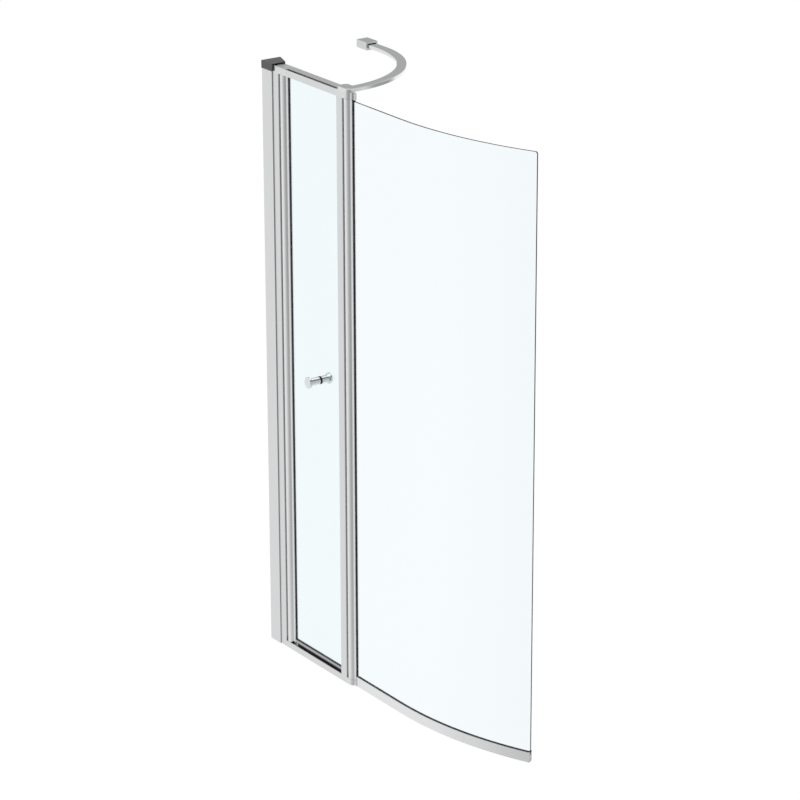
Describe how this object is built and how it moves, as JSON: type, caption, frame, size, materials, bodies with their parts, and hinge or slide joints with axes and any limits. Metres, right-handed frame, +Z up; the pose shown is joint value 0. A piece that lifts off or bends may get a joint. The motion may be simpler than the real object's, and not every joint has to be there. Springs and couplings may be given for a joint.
{
  "type": "bath screen",
  "caption": "Bath screen with a narrow hinged access door by the wall and a bowed glass screen that pivots on an aluminium post, braced by a curved chrome bar",
  "frame": {"origin": "The wall's plane, level with the front of the frame and with the underside of the bottom rail", "axes": "+X runs from the wall along the screen, +Y points into the bath, +Z is up"},
  "size_m": [0.8887, 0.3058, 1.4134],
  "materials": {
    "satin_aluminium": "satin silver",
    "silver_casting": "satin silver",
    "polished_chrome": "polished",
    "clear_glass": "clear, faint green edge",
    "black_rubber": "matt",
    "dark_plastic": "matt",
    "grey_plastic": "matt",
    "clear_seal": "translucent",
    "steel": "zinc plated"
  },
  "bodies": {
    "frame": {"wall_channel": "satin_aluminium", "channel_top_cap": "dark_plastic", "jamb_screws": "steel", "screw_covers": "grey_plastic", "jamb_profile": "satin_aluminium", "centre_post": "satin_aluminium", "top_rail": "satin_aluminium", "bottom_rail": "satin_aluminium", "base_screws": "steel", "top_wall_block": "silver_casting", "bottom_wall_block": "silver_casting", "top_post_block": "silver_casting", "bottom_post_block": "silver_casting", "corner_screws": "steel", "pivot_bushes": "grey_plastic", "door_stop_seal": "black_rubber", "support_bar": "polished_chrome", "bar_post_screws": "steel", "bar_wall_bracket": "polished_chrome", "bracket_pad": "black_rubber", "bracket_grub_screw": "steel"},
    "access_door": {"door_hinge_profile": "satin_aluminium", "door_pivot_plugs": "steel", "door_glazing_gasket": "black_rubber", "door_glass": "clear_glass", "door_rail": "satin_aluminium", "door_rail_gasket": "black_rubber", "door_wiper": "black_rubber", "door_foot_plug": "dark_plastic", "door_foot_pin": "steel", "knob_front": "polished_chrome", "knob_back": "polished_chrome", "knob_washers": "black_rubber", "knob_stud": "steel"},
    "bow_screen": {"bow_hinge_profile": "satin_aluminium", "bow_pivot_plugs": "steel", "bow_glazing_gasket": "black_rubber", "bow_glass": "clear_glass", "bow_strip": "satin_aluminium", "bow_strip_gasket": "black_rubber", "bow_end_caps": "grey_plastic", "bow_drip_seal": "clear_seal"}
  },
  "joints": [
    {"name": "door_hinge", "type": "hinge", "parent": "frame", "child": "access_door", "pos_m": [0.073, 0.012, 0.7], "axis": [0, 0, 1], "range_deg": [0, 90]},
    {"name": "bow_hinge", "type": "hinge", "parent": "frame", "child": "bow_screen", "pos_m": [0.3252, 0.012, 0.7], "axis": [0, 0, 1], "range_deg": [-90, 90]}
  ]
}
